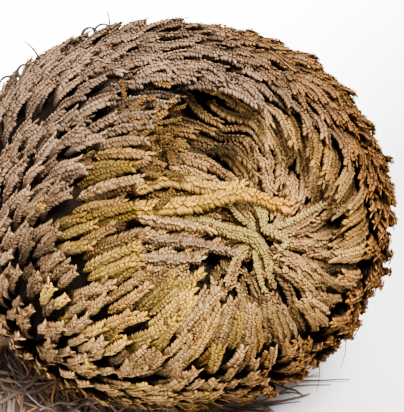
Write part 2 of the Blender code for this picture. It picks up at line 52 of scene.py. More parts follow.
class Wave:
    """One output of a shader node, with arithmetic on it."""

    def __init__(self, tree, socket):
        self.tree = tree
        self.socket = socket

    def node(self, kind, settings=None, output=0, **inputs):
        """Adds a node of this kind: settings first, then its sockets by name or, as i0, by number."""
        made = self.tree.nodes.new(kind)
        for name, value in (settings or {}).items():
            setattr(made, name, value)
        for name, value in inputs.items():
            numbered = name[0] == "i" and name[1:].isdigit()
            socket = made.inputs[int(name[1:]) if numbered else name]
            if isinstance(value, Wave):
                self.tree.links.new(value.socket, socket)
            else:
                socket.default_value = value
        return Wave(self.tree, made.outputs[output])

    def math(self, operation, first, second=0.0):
        return self.node("ShaderNodeMath", {"operation": operation}, i0=first, i1=second)

    def __add__(self, other):
        return self.math("ADD", self, other)

    def __sub__(self, other):
        return self.math("SUBTRACT", self, other)

    def __mul__(self, other):
        return self.math("MULTIPLY", self, other)

    def __rsub__(self, other):
        return self.math("SUBTRACT", other, self)

    __radd__ = __add__
    __rmul__ = __mul__

    def clamp(self, low, high):
        return self.math("MINIMUM", self.math("MAXIMUM", self, low), high)

    def mix(self, first, second):
        """Between two colours, by this share."""
        settings = {"data_type": "RGBA", "clamp_factor": True}
        return self.node("ShaderNodeMix", settings, output=2, i0=self, i6=first, i7=second)

    def times(self, colour):
        """This colour, multiplied by another."""
        settings = {"data_type": "RGBA", "blend_type": "MULTIPLY"}
        return self.node("ShaderNodeMix", settings, output=2, i0=1.0, i6=self, i7=(*colour, 1))

    def noise(self, scale, detail):
        """A cloudy pattern over the surface, where this is the place on it."""
        return self.node("ShaderNodeTexNoise", Vector=self, Scale=scale, Detail=detail)

    def into(self, name):
        """Links this to the Principled BSDF's socket of that name."""
        shader = self.tree.nodes["Principled BSDF"]
        self.tree.links.new(self.socket, shader.inputs[name])


def finish(name, colour, roughness):
    """A new dull material, and as a Wave the place on the piece that it covers."""
    made = bpy.data.materials.new(name)
    made.use_nodes = True
    shader = made.node_tree.nodes["Principled BSDF"]
    shader.inputs["Base Color"].default_value = (*colour, 1)
    shader.inputs["Roughness"].default_value = roughness
    shader.inputs["Specular IOR Level"].default_value = DULL_SPECULAR
    place = made.node_tree.nodes.new("ShaderNodeTexCoord")
    return made, Wave(made.node_tree, place.outputs["Object"])


bark, bark_place = finish("dry bark", BARK, BARK_ROUGHNESS)
bark_grain = bark_place.noise(BARK_GRAIN_SCALE, 4.0)
bark_grain.clamp(0.3, 0.7).mix((*BARK_DARK, 1), (*BARK_PALE, 1)).into("Base Color")
bark_place.node("ShaderNodeBump", Height=bark_grain, Strength=0.8, Distance=BARK_GRAIN_DEPTH).into("Normal")
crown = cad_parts["crown"]
crown.data.materials.clear()
crown.data.materials.append(bark)

# The root mat: wiry brown roots, felted into a flat cushion under the crown. Thin
# roots lie over and under each other, and their ends run out over the surface.

CENTRE = np.array([0.0, 0.0, 0.044])
HALF_SIZE = np.array([0.0435, 0.0395, 0.0385])
MAT_CENTRE = np.array([-0.024, -0.004])
MAT_HALF_SIZE = np.array([0.036, 0.025, 0.015])
MAT_FOOT = 0.0002
CUSHION_SKIN = 0.0003
CUSHION_RINGS = 14
CUSHION_SPOKES = 48
CUSHION_ROOM = 0.0028
CROWN_FOOT = np.array([-0.036, -0.006])
ROOT_COUNT = 760
ROOT_STEPS = 12
ROOT_STEP = 0.0042
ROOT_START_REACH = 0.85
ROOT_REACH = np.array([0.062, 0.052])
ROOT_SLOWS_AT = 0.75
ROOT_HEADING_SPREAD = 0.5
ROOT_CURL = 0.16
ROOT_WANDER = 0.22
ROOT_LOWEST = 0.0005
ROOT_ROOM = 0.0024
STRAND_SIDES = 5
ROOT_RADII = (0.00016, 0.00024, 0.00036, 0.0006)
ROOT_RADIUS_SHARES = (0.35, 0.35, 0.22, 0.08)
ROOT_DARK = (0.12, 0.084, 0.068)
ROOT_BROWN = (0.25, 0.155, 0.105)
ROOT_GREY = (0.30, 0.25, 0.215)
ROOT_RED = (0.33, 0.10, 0.05)
ROOT_ORANGE = (0.42, 0.20, 0.075)
ROOT_COLOUR_SHARES = (0.36, 0.26, 0.22, 0.07, 0.09)
DRY_PLANT = (0.3, 0.2, 0.1)
MOTTLE_SCALE = 420.0
MOTTLE_SHADE = (0.62, 0.58, 0.54)
SPECK_SCALE = 1300.0
SPECK_SHADE = (0.62, 0.30, 0.16)


def unit(vectors):
    return vectors / np.maximum(np.linalg.norm(vectors, axis=-1, keepdims=True), 1e-12)


def mesh_object(name, points, triangles, colours, finish_used):
    """An object with these triangles and a colour at each point."""
    mesh = bpy.data.meshes.new(name)
    mesh.vertices.add(len(points))
    mesh.vertices.foreach_set("co", points.astype(np.float32).ravel())
    mesh.loops.add(3 * len(triangles))
    mesh.loops.foreach_set("vertex_index", triangles.astype(np.int32).ravel())
    mesh.polygons.add(len(triangles))
    mesh.polygons.foreach_set("loop_start", np.arange(0, 3 * len(triangles), 3, dtype=np.int32))
    mesh.update(calc_edges=True)
    mesh.shade_smooth()
    painted = mesh.color_attributes.new("grown_colour", "FLOAT_COLOR", "POINT")
    painted.data.foreach_set("color", np.c_[colours, np.ones(len(colours))].astype(np.float32).ravel())
    mesh.materials.append(finish_used)
    made = bpy.data.objects.new(name, mesh)
    bpy.context.scene.collection.objects.link(made)
    return made


def joined(parts):
    """Several (points, triangles, colours) as one."""
    points = np.concatenate([part[0] for part in parts])
    colours = np.concatenate([part[2] for part in parts])
    starts = np.cumsum([0] + [len(part[0]) for part in parts[:-1]])
    triangles = np.concatenate([part[1] + start for part, start in zip(parts, starts)])
    return points, triangles, colours


def tube_faces(here):
    """The triangles of a tube's wall, whose points are numbered step by step and round each ring."""
    onward = np.roll(here, -1, axis=-1)
    a, b = here[..., :-1, :], onward[..., :-1, :]
    c, d = onward[..., 1:, :], here[..., 1:, :]
    return np.concatenate([np.stack([a, c, b], -1).reshape(-1, 3), np.stack([a, d, c], -1).reshape(-1, 3)])


def strands(paths, radii, colours):
    """Round strands along these paths: paths is strand by step by 3, radii and colours go with it."""
    count, steps = paths.shape[:2]
    along = unit(np.gradient(paths, axis=1))
    aside = unit(np.cross(along, [0.13, 0.21, 1.0]))
    upward = np.cross(aside, along)
    angle = (2 * np.pi * np.arange(STRAND_SIDES) / STRAND_SIDES)[None, None, :, None]
    ring = np.cos(angle) * aside[:, :, None, :] + np.sin(angle) * upward[:, :, None, :]
    points = paths[:, :, None, :] + ring * radii[:, :, None, None]
    here = np.arange(count * steps * STRAND_SIDES).reshape(count, steps, STRAND_SIDES)
    caps = []
    for k in range(1, STRAND_SIDES - 1):
        caps.append(here[:, 0, [0, k, k + 1]])
        caps.append(here[:, -1, [0, k + 1, k]])
    tints = np.repeat(colours[:, :, None, :], STRAND_SIDES, axis=2)
    return points.reshape(-1, 3), np.concatenate([tube_faces(here)] + caps), tints.reshape(-1, 3)


def mat_wobble(around):
    """How far the mat's uneven edge reaches in this direction, about one."""
    return 1 + 0.07 * np.sin(3 * around + 0.7) + 0.05 * np.sin(5 * around)


def mat_height(spot):
    """The felted cushion's top over this place, zero outside it."""
    reach = (spot - MAT_CENTRE) / MAT_HALF_SIZE[:2]
    around = np.arctan2(reach[..., 1], reach[..., 0])
    left = 1 - (np.linalg.norm(reach, axis=-1) / mat_wobble(around)) ** 2
    return MAT_HALF_SIZE[2] * np.sqrt(np.clip(left, 0, 1))


def under_ball(spot, room):
    """The height that stays this far under the ball, at this place."""
    size = HALF_SIZE + room
    inside = 1 - (((spot - CENTRE[:2]) / size[:2]) ** 2).sum(-1)
    low = CENTRE[2] - size[2] * np.sqrt(np.clip(inside, 0, 1))
    return np.where(inside > 0, low, 1.0)


def root_strands(draw):
    """Roots that start on the mat, wander away from the crown's foot and stop at their full reach."""
    angle = draw.uniform(0, 2 * np.pi, ROOT_COUNT)
    reach = np.sqrt(draw.uniform(0, 1, ROOT_COUNT)) * ROOT_START_REACH
    spot = MAT_CENTRE + np.stack([np.cos(angle), np.sin(angle)], -1) * MAT_HALF_SIZE[:2] * reach[:, None]
    away = spot - CROWN_FOOT
    heading = np.arctan2(away[:, 1], away[:, 0]) + draw.normal(0, ROOT_HEADING_SPREAD, ROOT_COUNT)
    turning = draw.normal(0, ROOT_CURL, ROOT_COUNT)
    buried = draw.uniform(-0.0006, 0.0012, ROOT_COUNT)
    pace = ROOT_STEP * draw.uniform(0.35, 1.0, ROOT_COUNT)
    path = []
    for _ in range(ROOT_STEPS):
        height = np.minimum(mat_height(spot) + buried, under_ball(spot, ROOT_ROOM))
        path.append(np.c_[spot, np.maximum(height, ROOT_LOWEST)])
        heading = heading + turning + draw.normal(0, ROOT_WANDER, ROOT_COUNT)
        beyond = np.linalg.norm((spot - MAT_CENTRE) / ROOT_REACH, axis=1)
        slowed = pace * (1 - 0.9 * np.clip((beyond - ROOT_SLOWS_AT) * 3, 0, 1))
        spot = spot + np.stack([np.cos(heading), np.sin(heading)], -1) * slowed[:, None]
    radius = draw.choice(ROOT_RADII, ROOT_COUNT, p=ROOT_RADIUS_SHARES)
    taper = 1 - 0.6 * np.linspace(0, 1, ROOT_STEPS) ** 2
    palette = np.array([ROOT_DARK, ROOT_BROWN, ROOT_GREY, ROOT_RED, ROOT_ORANGE])
    tint = palette[draw.choice(len(palette), ROOT_COUNT, p=ROOT_COLOUR_SHARES)]
    tint = tint * draw.uniform(0.7, 1.25, (ROOT_COUNT, 1))
    tints = np.repeat(tint[:, None, :], ROOT_STEPS, axis=1)
    return strands(np.stack(path, 1), radius[:, None] * taper, tints)


def cushion():
    """The felted inside of the mat, coloured darker than the darkest roots: painted shade between them."""
    share = np.linspace(0, 1, CUSHION_RINGS)[:, None]
    around = np.linspace(0, 2 * np.pi, CUSHION_SPOKES, endpoint=False)[None, :]
    edge = share * mat_wobble(around)
    spot = np.stack([np.cos(around) * edge, np.sin(around) * edge], -1) * MAT_HALF_SIZE[:2] * 0.97
    spot = spot + MAT_CENTRE
    top = np.minimum(mat_height(spot) - CUSHION_SKIN, under_ball(spot, CUSHION_ROOM))
    top = np.maximum(top, MAT_FOOT + CUSHION_SKIN)
    upper = np.concatenate([spot, top[..., None]], -1)
    lower = np.concatenate([spot, np.full_like(top, MAT_FOOT)[..., None]], -1)
    here = np.arange(CUSHION_RINGS * CUSHION_SPOKES).reshape(CUSHION_RINGS, CUSHION_SPOKES)
    up = tube_faces(here)
    down = up[:, ::-1] + here.size
    rim, rim_next = here[-1], np.roll(here[-1], -1)
    below, below_next = rim + here.size, rim_next + here.size
    side = [np.stack([rim, below, below_next], -1), np.stack([rim, below_next, rim_next], -1)]
    points = np.concatenate([upper.reshape(-1, 3), lower.reshape(-1, 3)])
    # Painted shade: the cushion takes the darkest root colour, darkened further
    return points, np.concatenate([up, down] + side), np.tile(np.array(ROOT_DARK) * 0.6, (len(points), 1))


def grown(name, roughness, specks, fibre_scale, fibre_depth):
    """A dry plant surface: its own grown colours, a little mottled, with fine fibres."""
    made, place = finish(name, DRY_PLANT, roughness)
    tint = place.node("ShaderNodeAttribute", {"attribute_name": "grown_colour"})
    cloud = (place.noise(MOTTLE_SCALE, 3.0) - 0.35) * 3.0
    coloured = place.math("SMOOTH_MIN", cloud, 1.0).clamp(0.0, 1.0).mix(tint.times(MOTTLE_SHADE), tint)
    if specks:
        amount = ((place.noise(SPECK_SCALE, 1.0) - 0.66) * 14.0).clamp(0.0, 0.8)
        coloured = amount.mix(coloured, tint.times(SPECK_SHADE))
    coloured.into("Base Color")
    fibre = place.noise(fibre_scale, 2.0)
    place.node("ShaderNodeBump", Height=fibre, Strength=0.6, Distance=fibre_depth).into("Normal")
    return made


root_finish = grown("wiry root", 0.8, False, 2600.0, 0.0002)
root_parts = [root_strands(np.random.default_rng(7)), cushion()]
roots = mesh_object("root_mat_of_wiry_roots", *joined(root_parts), root_finish)
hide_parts("root_mat")
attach(roots, "root")

# The outer fronds: flat sprays whose branchlets lie over each other like thatch.
# Each branchlet is a ribbon of dry scale leaves in three rows, and its frayed tip
# stands free. All run from the crown to the mouth along one slow spiral.

RADIUS = HALF_SIZE.mean()
TO_CROWN = unit(np.array([-0.740, -0.089, -0.667]))
TO_MOUTH = unit(np.array([0.460, -0.767, 0.447]))
MOUTH_RIGHT = unit(np.array([1.0, 0, 0]) - TO_MOUTH * TO_MOUTH[0])
MOUTH_UP = np.cross(TO_MOUTH, MOUTH_RIGHT)
SPIRAL = 0.33
ALONG = math.sqrt(1 + SPIRAL * SPIRAL)
LUMP = 0.0009
CHORD = TO_MOUTH - TO_CROWN
CHORD_LENGTH = np.linalg.norm(CHORD)
CHORD_AXIS = CHORD / CHORD_LENGTH
CHORD_MIDDLE = (TO_MOUTH + TO_CROWN) / 2
MIDDLE_REACH = np.linalg.norm(CHORD_MIDDLE)
NEAR_SIDE = CHORD_MIDDLE / MIDDLE_REACH
CROSS_SIDE = np.cross(CHORD_AXIS, NEAR_SIDE)

OUTER_FRONDS = 13
OUTER_PITCH = 0.0021
OUTER_START = 0.0075
OUTER_STEPS = 8
OUTER_HALF_WIDTH = 0.00122
OUTER_ARCH = math.radians(34)
OUTER_BARE = 0.34
ROW_STEP = 0.0054
FULL_LENGTH = 0.0112
SHORTER = 0.0026
RIM_ROW_LENGTH = 0.0121
RIM_ROW_BARE = 0.06
RIM_ROW_LAP = 0.0034
# How near to the mouth's axis the outer fronds reach, in degrees, on each line from the crown
RIM_TURNS = (0, 50, 100, 150, 205, 226, 240, 248, 262, 273, 295, 330, 360)
RIM_ANGLES = (26, 22, 27, 28, 28, 34, 45, 50, 50, 45, 40, 34, 26)
RIM_FALL = 0.0030
RIM_FALL_FROM = math.radians(41)
RIM_FALL_TO = math.radians(20)
BRANCHLET_FOOT = -0.0030
BRANCHLET_RISE = 0.0032
# Sides of the ball as the lines from the crown see them: middle and reach in degrees of turn
TOP_SHORT, TOP_RAGGED, TOP_MAUVE = (243, 62), (240, 60), (248, 62)
RIGHT_CURLED, RIGHT_AMBER = (140, 95), (135, 95)
LEFT_TAUPE, LOW_TAN = (320, 60), (30, 65)
RIGHT_GROWTH = 1.6
BENEATH_SHARE = 0.26
BENEATH_DEPTH = 0.0009

LEAF_STEP = 0.00056
LEAF_HALF_WIDTH = 0.00040
LEAF_THICKNESS = 0.00008
LEAF_DROOP = 0.05
LEAF_OPENS = math.radians(52)
LEAF_CLOSES = math.radians(34)
# Painted shade on the leaves along a ribbon's edges and painted light on those along its middle
EDGE_LEAF_PAINTED_SHADE = 0.90
MIDDLE_LEAF_PAINTED_LIGHT = 1.12
# Painted shade on a ribbon's body: ridge, left side, underside and right side
RIBBON_PAINTED_SHADES = (0.70, 0.30, 0.15, 0.30)

BACKING_ROWS = 22
BACKING_COLUMNS = 9
BACKING_WIDTH = 0.985
BACKING_THICKNESS = 0.0010
OUTER_BACKING_DEPTH = 0.0036
OUTER_BACKING_SHORT = 0.30

# Painted shadow: the near-black colour of the sheet under the branchlets, which shows in the gaps between
# them
GAP_PAINTED_SHADOW = (0.006, 0.003, 0.0015)
MAUVE = np.array([0.232, 0.143, 0.084])
TAUPE = np.array([0.170, 0.090, 0.034])
TAN = np.array([0.335, 0.190, 0.068])
STRAW = np.array([0.530, 0.285, 0.078])
RUST = np.array([0.200, 0.062, 0.011])
AMBER = np.array([0.400, 0.165, 0.026])
OCHRE = np.array([0.580, 0.315, 0.028])
OLIVE = np.array([0.360, 0.225, 0.030])
FLECK = np.array([0.110, 0.045, 0.018])
PALE_STRAW = STRAW * 0.72
RUSTY_BROWN = TAN * 0.22 + RUST * 0.35
WARM_BROWN = np.array([0.175, 0.084, 0.024])
WARM_TIP = np.array([0.300, 0.130, 0.028])
# Places in degrees right of and above the middle of the mouth: tips that dried yellow, and the
# shaded stretch of the rim below it
YELLOW_SPOTS = np.array([
    (-38, 21), (-45, 9), (-45, 3), (-54, -16), (-31, -19), (-35, -28), (-27, -22), (-21, -13), (-35, 29),
    (-36, -2),
])
YELLOW_REACH = 5.0
SHADED_PLACE = np.array([6.0, -27.0])
SHADED_REACH = np.array([16.0, 9.0])


def direction(turn, way):
    """The point of the unit ball at these coordinates: which line, and how far along it."""
    angle = turn - SPIRAL * way
    side = np.cos(angle)[..., None] * NEAR_SIDE + np.sin(angle)[..., None] * CROSS_SIDE
    offset = MIDDLE_REACH * np.cos(angle)
    radius = np.sqrt((CHORD_LENGTH / 2) ** 2 + offset**2)
    end = np.arccos(offset / radius)
    growth = np.exp(way)
    travelled = np.arctan2(growth * np.sin(end), 1 + growth * np.cos(end))
    bend = 2 * travelled - end
    across = (radius * np.cos(bend) - offset)[..., None] * side
    return CHORD_MIDDLE + across + (radius * np.sin(bend))[..., None] * CHORD_AXIS


def spread(toward):
    """Metres on the ball for one unit of turn or way."""
    from_crown = np.linalg.norm(toward - TO_CROWN, axis=-1)
    from_mouth_axis = np.linalg.norm(toward - TO_MOUTH, axis=-1)
    return RADIUS * from_crown * from_mouth_axis / CHORD_LENGTH


def line_spread(turn, way):
    """The same as one number, for one line and way."""
    return float(spread(direction(np.array(turn), np.array(way))))


def mouth_angle(toward):
    return np.arccos(np.clip(toward @ TO_MOUTH, -1, 1))


def crown_distance(toward):
    return np.linalg.norm(toward - TO_CROWN, axis=-1) * RADIUS


def smooth_step(value, low, high):
    share = np.clip((value - low) / (high - low), 0, 1)
    return share * share * (3 - 2 * share)


def blend(first, second, share):
    return first * (1 - share) + second * share


def on_mouth(toward):
    """Degrees right of and above the middle of the mouth, as seen when facing it."""
    away = unit(toward - (toward @ TO_MOUTH)[..., None] * TO_MOUTH)
    angle = np.degrees(mouth_angle(toward))
    return np.stack([angle * (away @ MOUTH_RIGHT), angle * (away @ MOUTH_UP)], -1)


def from_mouth(places):
    """The directions at these degrees right of and above the middle of the mouth."""
    places = np.radians(np.asarray(places, float))
    angle = np.linalg.norm(places, axis=-1, keepdims=True)
    aside = places / np.maximum(angle, 1e-9)
    away = aside[..., :1] * MOUTH_RIGHT + aside[..., 1:] * MOUTH_UP
    return TO_MOUTH * np.cos(angle) + away * np.sin(angle)


def side_share(turn, side):
    """One in the middle of this side of the ball, falling to zero at its ends."""
    middle, reach = np.radians(side)
    away = (turn - middle + np.pi) % (2 * np.pi) - np.pi
    return np.clip(1 - np.abs(away) / reach, 0, 1)


def rim_angle(turn):
    return np.radians(np.interp(np.degrees(turn) % 360, RIM_TURNS, RIM_ANGLES))


def outer_height(toward):
    """The height of the outer fronds, which bow in a little at the rim."""
    return -RIM_FALL * (1 - smooth_step(mouth_angle(toward), RIM_FALL_TO, RIM_FALL_FROM))


def outer_ground(toward):
    """The height of the near-black sheet of painted shadow beneath the outer fronds."""
    return outer_height(toward) - OUTER_BACKING_DEPTH


def at(toward, height):
    """The place at this height over the smooth ball, with its low lumps."""
    x, y, z = toward[..., 0], toward[..., 1], toward[..., 2]
    lump = LUMP * np.sin(5.1 * x + 1.3) * np.sin(4.3 * y - 0.6) * np.sin(4.7 * z + 2.1)
    return CENTRE + HALF_SIZE * toward * (1 + (height + lump) / RADIUS)[..., None]


def way_where(turn, wanted, measure, low, high, rising):
    """The way at which this measure of the direction reaches the wanted value."""
    turn = np.asarray(turn, float)
    low = np.full_like(turn, low)
    high = np.full_like(turn, high)
    for _ in range(34):
        middle = (low + high) / 2
        before = (measure(direction(turn, middle)) < wanted) == rising
        low = np.where(before, middle, low)
        high = np.where(before, high, middle)
    return low


def way_at_mouth_angle(turn, angle):
    return way_where(turn, angle, mouth_angle, -4.0, 7.0, False)


def way_back(turn, way, length):
    """The way this many metres before, on one line."""
    for _ in range(8):
        way = way - length / 8 / (line_spread(turn, way) * ALONG)
    return way


def lane_turns(turn, half_turn, lanes):
    """The middles of this many lanes side by side over one frond."""
    return turn + half_turn * ((2 * np.arange(lanes) + 1) / lanes - 1)


def walk(turn, way, length, heading, bend, steps):
    """The directions along a branchlet that starts here and swings off its line by heading and bend."""
    stops = [direction(turn, way)]
    stride = length / (steps - 1)
    for step in range(steps - 1):
        swing = heading + bend * step / (steps - 1)
        scale = spread(stops[-1])
        way = way + stride * (np.cos(swing) + SPIRAL * np.sin(swing)) / (scale * ALONG)
        turn = turn + stride * np.sin(swing) * ALONG / scale
        stops.append(direction(turn, way))
    return np.stack(stops, 1)


def between(values, whole):
    """The values along each branchlet at these steps, whole or in between."""
    index = whole.astype(int)
    rest = (whole - index)[..., None]
    rows = np.arange(len(values))[:, None]
    return values[rows, index] * (1 - rest) + values[rows, index + 1] * rest


def scale_leaves(root, pointing, facing, length, half_width, colour):
    """Small closed scale leaves, each broad and blunt with a raised middle."""
    aside = np.cross(facing, pointing)
    droop = facing * (LEAF_DROOP * length)[:, None]
    middle = root + pointing * (0.66 * length)[:, None] - droop * 0.25
    tip = root + pointing * length[:, None] - droop
    low = facing * (0.30 * half_width)[:, None]
    left = middle + aside * half_width[:, None] - low
    right = middle - aside * half_width[:, None] - low
    top = middle + facing * LEAF_THICKNESS
    points = np.stack([root, left, tip, right, top], 1)
    faces = np.array([[0, 3, 4], [3, 2, 4], [2, 1, 4], [1, 0, 4], [0, 1, 2], [0, 2, 3]])
    triangles = 5 * np.arange(len(root))[:, None, None] + faces
    # Painted shade and light: each leaf is darker at its root and lighter on its raised top
    tints = np.stack([colour * 0.70, colour * 0.84, colour * 1.02, colour * 0.84, colour * 1.08], 1)
    return points.reshape(-1, 3), triangles.reshape(-1, 3), tints.reshape(-1, 3)


class Ribbons:
    """Branchlets of one kind: ribbons of closed scale leaves, each along its own spine.

    The spines are branchlet by step by 3, and the other values are one for each branchlet. Along
    a ribbon stand leaf_pairs leaves in each row, and its bare share at the foot has none."""

    def __init__(self, spine, outward, half_width, colours, arch, fray, leaf_pairs, bare):
        self.spine = spine
        self.forward = unit(np.gradient(spine, axis=1))
        self.facing = unit(outward - (outward * self.forward).sum(-1, keepdims=True) * self.forward)
        self.half_width = half_width
        self.colour, self.tip_colour = colours
        self.arch = arch
        self.fray = fray
        self.leaf_pairs = leaf_pairs
        self.bare = bare

    def body(self):
        """The middle of each ribbon, four-sided with a low ridge, with painted shade: its sides and
        underside darker than its ridge, and all of it darker at its covered foot.
        """
        count, steps = self.spine.shape[:2]
        share = np.linspace(0, 1, steps)
        half_width = self.half_width[:, None, None]
        swelling = 0.74 + 0.26 * np.sin(np.pi * np.clip(share * 1.2, 0, 1))
        rim = half_width * swelling[None, :, None] * 0.80
        aside = np.cross(self.facing, self.forward) * rim
        ridge = self.facing * (half_width * 0.06)
        drop = self.facing * (rim * np.tan(self.arch)[:, None, None] + half_width * 0.10)
        under = self.facing * (half_width * 0.95)
        left, right = self.spine + aside - drop, self.spine - aside - drop
        corners = [self.spine - ridge, left, self.spine - under, right]
        here = np.arange(count * steps * 4).reshape(count, steps, 4)
        first, last = here[:, 0], here[:, -1]
        caps = [first[:, [0, 1, 2]], first[:, [0, 2, 3]], last[:, [0, 2, 1]], last[:, [0, 3, 2]]]
        # Painted shade at the foot, which lies under the row before
        covered = 0.2 + 0.8 * smooth_step(share, 0.5 * self.bare, self.bare + 0.05)
        shade = np.outer(covered, RIBBON_PAINTED_SHADES).reshape(1, -1, 1)
        tints = (self.colour[:, None, :] * shade).reshape(-1, 3)
        return np.stack(corners, 2).reshape(-1, 3), np.concatenate([tube_faces(here)] + caps), tints

    def leaf_row(self, side, draw):
        """One row of leaves: side is 1 for the left edge, -1 for the right and 0 for the middle."""
        count, steps = self.spine.shape[:2]
        pairs = self.leaf_pairs if side else max(3, self.leaf_pairs - 2)
        spots = (np.arange(pairs) + (0.25, 0.5, 0.75)[side + 1]) / pairs
        spots = spots[None, :] + draw.normal(0, 0.10, (count, pairs)) / pairs
        spots = np.clip(self.bare + (1 - self.bare) * spots, 0, 0.999)
        place = between(self.spine, spots * (steps - 1))
        ahead = unit(between(self.forward, spots * (steps - 1)))
        up = unit(between(self.facing, spots * (steps - 1)))
        at_tip = np.clip((spots - 0.84) / 0.16, 0, 1)
        fray = self.fray[:, None]
        width = self.half_width[:, None] * (0.78 + 0.22 * np.sin(np.pi * np.clip(spots * 1.15, 0, 1)))
        if side:
            aside = np.cross(up, ahead) * side
            opened = LEAF_OPENS - at_tip * LEAF_CLOSES * (1 - fray) + draw.normal(0, 0.07, spots.shape)
            tilt = self.arch[:, None] * (1 - 0.4 * at_tip)
            outer = aside * np.cos(tilt)[..., None] - up * np.sin(tilt)[..., None]
            pointing = ahead * np.cos(opened)[..., None] + outer * np.sin(opened)[..., None]
            over = up * np.cos(tilt)[..., None] + aside * np.sin(tilt)[..., None]
            length = 1.04 * width / (np.sin(np.maximum(opened, 0.6)) * np.cos(tilt))
            root = place - aside * (0.06 * width)[..., None] - up * 0.00003
            lift, shade = 0.02, EDGE_LEAF_PAINTED_SHADE
        else:
            aside = np.cross(up, ahead)
            over = up
            pointing = unit(ahead + aside * draw.normal(0, 0.16, spots.shape)[..., None])
            length = 0.74 * width
            root = place + aside * (width * draw.normal(0, 0.10, spots.shape))[..., None] + up * 0.00002
            lift, shade = 0.07, MIDDLE_LEAF_PAINTED_LIGHT
        length = length * (1 + 0.30 * at_tip * draw.uniform(0, 1, spots.shape))
        length = length * draw.uniform(0.92, 1.08, spots.shape)
        lifted = over * draw.normal(lift, 0.03, spots.shape)[..., None]
        pointing = unit(pointing + lifted + up * (0.25 * fray * at_tip)[..., None])
        broader = (self.half_width[:, None] / 0.0012) ** 0.4
        half_width = LEAF_HALF_WIDTH * draw.uniform(0.9, 1.1, spots.shape) * broader
        glow = draw.normal(1, 0.08, spots.shape)[..., None]
        toward_tip = np.clip((spots - 0.66) / 0.34, 0, 1)[..., None] ** 1.3
        tint = blend(self.colour[:, None, :], self.tip_colour[:, None, :], toward_tip)
        flecked = (draw.uniform(0, 1, spots.shape) < 0.015 + 0.08 * at_tip)[..., None]
        tint = np.where(flecked, FLECK, tint) * glow * shade
        vectors = [values.reshape(-1, 3) for values in (root, pointing, unit(over))]
        return scale_leaves(*vectors, length.ravel(), half_width.ravel(), tint.reshape(-1, 3))

    def grown(self, draw):
        """The ribbons with their leaves, as points, triangles and colours."""
        return joined([self.body()] + [self.leaf_row(side, draw) for side in (1, -1, 0)])


def backing(turn, half_turn, first_way, last_way, height):
    """The older branchlets beneath, shown only as a near-black sheet: painted shadow in the gaps between the
    branchlets.
    """
    way = np.linspace(first_way, last_way, BACKING_ROWS)[:, None]
    line = turn + np.linspace(-1, 1, BACKING_COLUMNS)[None, :] * half_turn * BACKING_WIDTH
    toward = direction(line + 0 * way, way + 0 * line)
    level = height(toward)
    upper, lower = at(toward, level), at(toward, level - BACKING_THICKNESS)
    points = np.concatenate([upper.reshape(-1, 3), lower.reshape(-1, 3)])
    here = np.arange(BACKING_ROWS * BACKING_COLUMNS).reshape(BACKING_ROWS, BACKING_COLUMNS)
    a, b, c, d = here[:-1, :-1], here[:-1, 1:], here[1:, 1:], here[1:, :-1]
    up = np.concatenate([np.stack([a, b, c], -1).reshape(-1, 3), np.stack([a, c, d], -1).reshape(-1, 3)])
    edge = np.concatenate([here[0, :-1], here[:-1, -1], here[-1, :0:-1], here[:0:-1, 0]])
    after = np.roll(edge, -1)
    below, below_after = edge + here.size, after + here.size
    side = [np.stack([edge, below, below_after], -1), np.stack([edge, below_after, after], -1)]
    triangles = np.concatenate([up, up[:, ::-1] + here.size] + side)
    return points, triangles, np.tile(np.array(GAP_PAINTED_SHADOW), (len(points), 1))


def outer_colours(turn, tips, draw):
    """The weathered colours of a branchlet and of its tip, by where its tip lies, with painted shade and
    painted light.
    """
    count = len(turn)
    angle = mouth_angle(tips)
    sides = [side_share(turn, side) for side in (TOP_MAUVE, LEFT_TAUPE, LOW_TAN, RIGHT_AMBER)]
    left, low = sides[1], sides[2]
    weights = np.stack(sides, 1) + 1e-3
    weights = weights * draw.uniform(0.6, 1.4, weights.shape)
    weights = weights / weights.sum(1, keepdims=True)
    body = weights @ np.array([MAUVE, TAUPE, TAN, RUSTY_BROWN])
    tip = weights @ np.array([MAUVE * 1.15, TAN, STRAW * 0.8, AMBER])

    place = on_mouth(tips)
    rightward, upward = place[:, 0], place[:, 1]
    sideways = rightward / np.maximum(np.linalg.norm(place, axis=1), 1e-6)
    bowl = (1 - smooth_step(np.degrees(angle) + 8 * sideways, 32, 40))[:, None]
    pale = PALE_STRAW + draw.normal(0, 0.015, (count, 1))
    body, tip = blend(body, pale, bowl), blend(tip, pale * 1.25, bowl)
    from_shaded = np.linalg.norm((place - SHADED_PLACE) / SHADED_REACH, axis=1)
    shaded = 1 - 0.42 * (1 - smooth_step(from_shaded, 0.5, 1.2))[:, None]
    warm = (smooth_step(rightward, -2, 24) * smooth_step(upward, 22, 38))[:, None]
    body, tip = blend(body * shaded, WARM_BROWN, 0.6 * warm), blend(tip * shaded, WARM_TIP, 0.7 * warm)
    near_spot = np.linalg.norm(place[:, None, :] - YELLOW_SPOTS, axis=-1).min(1) < YELLOW_REACH
    stray_yellow = (draw.uniform(0, 1, count) < 0.12) & (left + low > 0.5) & (angle < 1.2)
    yellow = (near_spot | stray_yellow)[:, None] * 1.0
    body, tip = blend(body, OLIVE, 0.6 * yellow), blend(tip, OCHRE, yellow)

    patch = 0.14 * np.sin(9 * turn + 2) + 0.12 * np.sin(23 * turn + 9 * angle) * np.sin(13 * angle)
    # The lightness: random, in patches and lower near the crown, with painted shade on the upper left flank
    # and painted light on the lower left
    light = draw.normal(1, 0.17, count) * (1 + patch)
    light = light * (0.62 + 0.38 * smooth_step(crown_distance(tips), 0.012, 0.032))
    light = light * (1 - 0.34 * left * smooth_step(upward, -15, 10))
    light = light * (1 + 0.35 * smooth_step(-rightward, 30, 48) * smooth_step(-upward, 2, 20))
    return np.clip(body * light[:, None], 0.01, 1), np.clip(tip * light[:, None], 0.01, 1)


